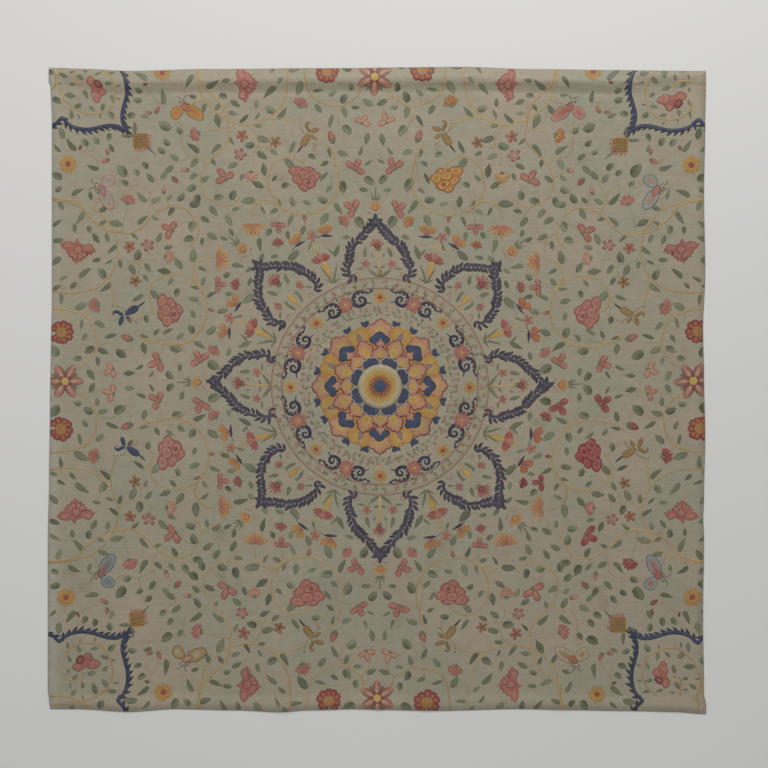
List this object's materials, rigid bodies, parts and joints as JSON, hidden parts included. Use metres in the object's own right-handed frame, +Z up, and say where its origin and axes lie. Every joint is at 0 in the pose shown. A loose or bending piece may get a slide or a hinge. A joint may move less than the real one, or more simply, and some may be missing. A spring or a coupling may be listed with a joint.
{
  "type": "coverlet",
  "caption": "Square embroidered silk coverlet laid out flat, face up, with a low ridge under one edge, rolled hems and soft waves.",
  "frame": {"origin": "on the surface below the cloth, at the middle of its bounding box", "axes": "+Z up out of the embroidered face, +Y towards the end with the ridge, +X across the width"},
  "size_m": [2.1198, 2.0836, 0.0146],
  "materials": {
    "silk_ground": "greyed cream silk, soft sheen",
    "silk_floss": "coloured silk floss in satin stitch",
    "gold_thread": "couched golden thread, satin"
  },
  "bodies": {
    "root": {"coverlet": "silk_ground"}
  },
  "joints": []
}
